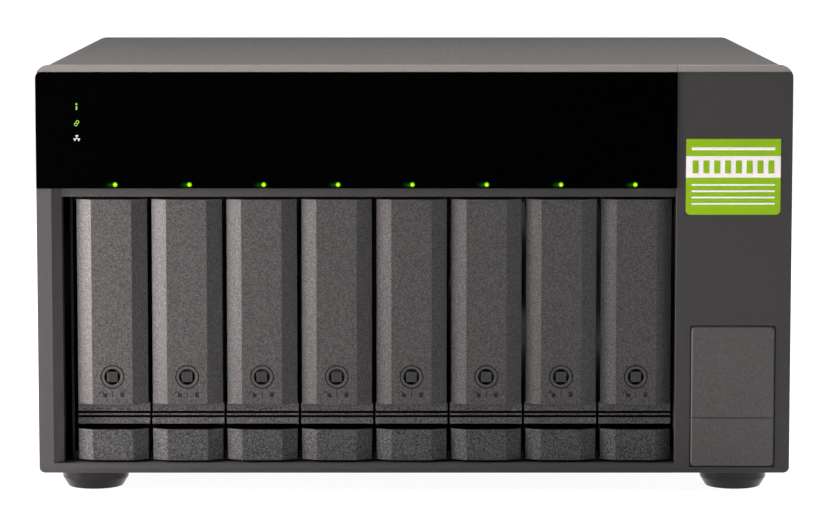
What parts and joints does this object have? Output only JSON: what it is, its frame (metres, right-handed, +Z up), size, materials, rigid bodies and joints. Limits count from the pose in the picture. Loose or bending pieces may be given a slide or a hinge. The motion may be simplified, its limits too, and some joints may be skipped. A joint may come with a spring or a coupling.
{
  "type": "disk shelf enclosure",
  "caption": "Desktop enclosure for a row of upright disk drives in lockable trays behind a moulded front, with rear fans and its own power supply.",
  "frame": {"origin": "on the standing surface under the feet, midway between the sides and between front and back", "axes": "+X to the right seen from the front, +Y from the front to the back, +Z up"},
  "size_m": [0.3292, 0.2796, 0.1882],
  "materials": {
    "coated_steel": "fine textured dark grey powder coat",
    "bezel_plastic": "dark brownish-grey moulded plastic with a fine satin grain",
    "tray_plastic": "sparkling grained dark grey moulded plastic",
    "gloss_panel": "polished black window",
    "foot_plastic": "smooth dark plastic",
    "clear_plastic": "clear moulded light guide",
    "circuit_board": "green solder mask",
    "bare_steel": "zinc-plated sheet",
    "black_steel": "black powder-coated sheet",
    "black_plastic": "plain black moulding",
    "brass": "turned brass",
    "aluminium": "extruded",
    "lock_metal": "dark plated lock core"
  },
  "bodies": {
    "root": {"outer_cover": "coated_steel", "base_pan": "coated_steel", "rear_panel": "coated_steel", "feet": "foot_plastic", "front_bezel": "bezel_plastic", "side_column": "bezel_plastic", "blank_cover": "bezel_plastic", "display_panel": "gloss_panel", "light_guides": "clear_plastic", "indicator_board": "circuit_board", "drive_cage": "black_steel", "tray_guides": "black_plastic", "backplane": "circuit_board", "drive_connectors": "black_plastic", "fan_frames": "black_plastic", "power_supply": "bare_steel", "power_inlet": "black_plastic", "control_board": "circuit_board", "board_standoffs": "brass", "controller_heatsink": "aluminium", "usb_c_port": "bare_steel", "control_housings": "black_plastic", "cover_screws": "bare_steel"},
    "fan_rotor_left": {"fan_rotor_left": "black_plastic"},
    "fan_rotor_right": {"fan_rotor_right": "black_plastic"},
    "psu_fan_rotor": {"psu_fan_rotor": "black_plastic"},
    "power_button": {"power_button": "black_plastic"},
    "fan_speed_dial": {"fan_speed_dial": "black_plastic"},
    "tray_1": {"tray_1": "tray_plastic"},
    "tray_handle_1": {"tray_handle_1": "tray_plastic"},
    "release_button_1": {"release_button_1": "tray_plastic"},
    "tray_lock_1": {"tray_lock_1": "lock_metal"},
    "tray_2": {"tray_2": "tray_plastic"},
    "tray_handle_2": {"tray_handle_2": "tray_plastic"},
    "release_button_2": {"release_button_2": "tray_plastic"},
    "tray_lock_2": {"tray_lock_2": "lock_metal"},
    "tray_3": {"tray_3": "tray_plastic"},
    "tray_handle_3": {"tray_handle_3": "tray_plastic"},
    "release_button_3": {"release_button_3": "tray_plastic"},
    "tray_lock_3": {"tray_lock_3": "lock_metal"},
    "tray_4": {"tray_4": "tray_plastic"},
    "tray_handle_4": {"tray_handle_4": "tray_plastic"},
    "release_button_4": {"release_button_4": "tray_plastic"},
    "tray_lock_4": {"tray_lock_4": "lock_metal"},
    "tray_5": {"tray_5": "tray_plastic"},
    "tray_handle_5": {"tray_handle_5": "tray_plastic"},
    "release_button_5": {"release_button_5": "tray_plastic"},
    "tray_lock_5": {"tray_lock_5": "lock_metal"},
    "tray_6": {"tray_6": "tray_plastic"},
    "tray_handle_6": {"tray_handle_6": "tray_plastic"},
    "release_button_6": {"release_button_6": "tray_plastic"},
    "tray_lock_6": {"tray_lock_6": "lock_metal"},
    "tray_7": {"tray_7": "tray_plastic"},
    "tray_handle_7": {"tray_handle_7": "tray_plastic"},
    "release_button_7": {"release_button_7": "tray_plastic"},
    "tray_lock_7": {"tray_lock_7": "lock_metal"},
    "tray_8": {"tray_8": "tray_plastic"},
    "tray_handle_8": {"tray_handle_8": "tray_plastic"},
    "release_button_8": {"release_button_8": "tray_plastic"},
    "tray_lock_8": {"tray_lock_8": "lock_metal"}
  },
  "joints": [
    {"name": "fan_rotor_left_spin", "type": "hinge", "parent": "root", "child": "fan_rotor_left", "pos_m": [-0.08865, 0.123, 0.0721], "axis": [0, 1, 0], "continuous": true},
    {"name": "fan_rotor_right_spin", "type": "hinge", "parent": "root", "child": "fan_rotor_right", "pos_m": [0.03535, 0.123, 0.0721], "axis": [0, 1, 0], "continuous": true},
    {"name": "psu_fan_rotor_spin", "type": "hinge", "parent": "root", "child": "psu_fan_rotor", "pos_m": [0.1384, 0.128, 0.0689], "axis": [0, 1, 0], "continuous": true},
    {"name": "power_button_press", "type": "slide", "parent": "root", "child": "power_button", "axis": [0, -1, 0], "range_m": [0, 0.0012], "stiffness_N_per_m": 900},
    {"name": "fan_speed_turn", "type": "hinge", "parent": "root", "child": "fan_speed_dial", "pos_m": [-0.07965, 0.133, 0.1642], "axis": [0, 1, 0], "range_deg": [0, 270]},
    {"name": "tray_slide_1", "type": "slide", "parent": "root", "child": "tray_1", "axis": [0, -1, 0], "range_m": [0, 0.185]},
    {"name": "handle_swing_1", "type": "hinge", "parent": "tray_1", "child": "tray_handle_1", "pos_m": [-0.1324, -0.132, 0.1165], "axis": [-1, 0, 0], "range_deg": [0, 45]},
    {"name": "release_press_1", "type": "slide", "parent": "tray_1", "child": "release_button_1", "axis": [0, 1, 0], "range_m": [0, 0.002], "stiffness_N_per_m": 700},
    {"name": "lock_turn_1", "type": "hinge", "parent": "tray_handle_1", "child": "tray_lock_1", "pos_m": [-0.1324, -0.1365, 0.0514], "axis": [0, 1, 0], "range_deg": [0, 90]},
    {"name": "tray_slide_2", "type": "slide", "parent": "root", "child": "tray_2", "axis": [0, -1, 0], "range_m": [0, 0.185]},
    {"name": "handle_swing_2", "type": "hinge", "parent": "tray_2", "child": "tray_handle_2", "pos_m": [-0.0996, -0.132, 0.1165], "axis": [-1, 0, 0], "range_deg": [0, 45]},
    {"name": "release_press_2", "type": "slide", "parent": "tray_2", "child": "release_button_2", "axis": [0, 1, 0], "range_m": [0, 0.002], "stiffness_N_per_m": 700},
    {"name": "lock_turn_2", "type": "hinge", "parent": "tray_handle_2", "child": "tray_lock_2", "pos_m": [-0.0996, -0.1365, 0.0514], "axis": [0, 1, 0], "range_deg": [0, 90]},
    {"name": "tray_slide_3", "type": "slide", "parent": "root", "child": "tray_3", "axis": [0, -1, 0], "range_m": [0, 0.185]},
    {"name": "handle_swing_3", "type": "hinge", "parent": "tray_3", "child": "tray_handle_3", "pos_m": [-0.0668, -0.132, 0.1165], "axis": [-1, 0, 0], "range_deg": [0, 45]},
    {"name": "release_press_3", "type": "slide", "parent": "tray_3", "child": "release_button_3", "axis": [0, 1, 0], "range_m": [0, 0.002], "stiffness_N_per_m": 700},
    {"name": "lock_turn_3", "type": "hinge", "parent": "tray_handle_3", "child": "tray_lock_3", "pos_m": [-0.0668, -0.1365, 0.0514], "axis": [0, 1, 0], "range_deg": [0, 90]},
    {"name": "tray_slide_4", "type": "slide", "parent": "root", "child": "tray_4", "axis": [0, -1, 0], "range_m": [0, 0.185]},
    {"name": "handle_swing_4", "type": "hinge", "parent": "tray_4", "child": "tray_handle_4", "pos_m": [-0.034, -0.132, 0.1165], "axis": [-1, 0, 0], "range_deg": [0, 45]},
    {"name": "release_press_4", "type": "slide", "parent": "tray_4", "child": "release_button_4", "axis": [0, 1, 0], "range_m": [0, 0.002], "stiffness_N_per_m": 700},
    {"name": "lock_turn_4", "type": "hinge", "parent": "tray_handle_4", "child": "tray_lock_4", "pos_m": [-0.034, -0.1365, 0.0514], "axis": [0, 1, 0], "range_deg": [0, 90]},
    {"name": "tray_slide_5", "type": "slide", "parent": "root", "child": "tray_5", "axis": [0, -1, 0], "range_m": [0, 0.185]},
    {"name": "handle_swing_5", "type": "hinge", "parent": "tray_5", "child": "tray_handle_5", "pos_m": [-0.0012, -0.132, 0.1165], "axis": [-1, 0, 0], "range_deg": [0, 45]},
    {"name": "release_press_5", "type": "slide", "parent": "tray_5", "child": "release_button_5", "axis": [0, 1, 0], "range_m": [0, 0.002], "stiffness_N_per_m": 700},
    {"name": "lock_turn_5", "type": "hinge", "parent": "tray_handle_5", "child": "tray_lock_5", "pos_m": [-0.0012, -0.1365, 0.0514], "axis": [0, 1, 0], "range_deg": [0, 90]},
    {"name": "tray_slide_6", "type": "slide", "parent": "root", "child": "tray_6", "axis": [0, -1, 0], "range_m": [0, 0.185]},
    {"name": "handle_swing_6", "type": "hinge", "parent": "tray_6", "child": "tray_handle_6", "pos_m": [0.0316, -0.132, 0.1165], "axis": [-1, 0, 0], "range_deg": [0, 45]},
    {"name": "release_press_6", "type": "slide", "parent": "tray_6", "child": "release_button_6", "axis": [0, 1, 0], "range_m": [0, 0.002], "stiffness_N_per_m": 700},
    {"name": "lock_turn_6", "type": "hinge", "parent": "tray_handle_6", "child": "tray_lock_6", "pos_m": [0.0316, -0.1365, 0.0514], "axis": [0, 1, 0], "range_deg": [0, 90]},
    {"name": "tray_slide_7", "type": "slide", "parent": "root", "child": "tray_7", "axis": [0, -1, 0], "range_m": [0, 0.185]},
    {"name": "handle_swing_7", "type": "hinge", "parent": "tray_7", "child": "tray_handle_7", "pos_m": [0.0644, -0.132, 0.1165], "axis": [-1, 0, 0], "range_deg": [0, 45]},
    {"name": "release_press_7", "type": "slide", "parent": "tray_7", "child": "release_button_7", "axis": [0, 1, 0], "range_m": [0, 0.002], "stiffness_N_per_m": 700},
    {"name": "lock_turn_7", "type": "hinge", "parent": "tray_handle_7", "child": "tray_lock_7", "pos_m": [0.0644, -0.1365, 0.0514], "axis": [0, 1, 0], "range_deg": [0, 90]},
    {"name": "tray_slide_8", "type": "slide", "parent": "root", "child": "tray_8", "axis": [0, -1, 0], "range_m": [0, 0.185]},
    {"name": "handle_swing_8", "type": "hinge", "parent": "tray_8", "child": "tray_handle_8", "pos_m": [0.0972, -0.132, 0.1165], "axis": [-1, 0, 0], "range_deg": [0, 45]},
    {"name": "release_press_8", "type": "slide", "parent": "tray_8", "child": "release_button_8", "axis": [0, 1, 0], "range_m": [0, 0.002], "stiffness_N_per_m": 700},
    {"name": "lock_turn_8", "type": "hinge", "parent": "tray_handle_8", "child": "tray_lock_8", "pos_m": [0.0972, -0.1365, 0.0514], "axis": [0, 1, 0], "range_deg": [0, 90]}
  ]
}
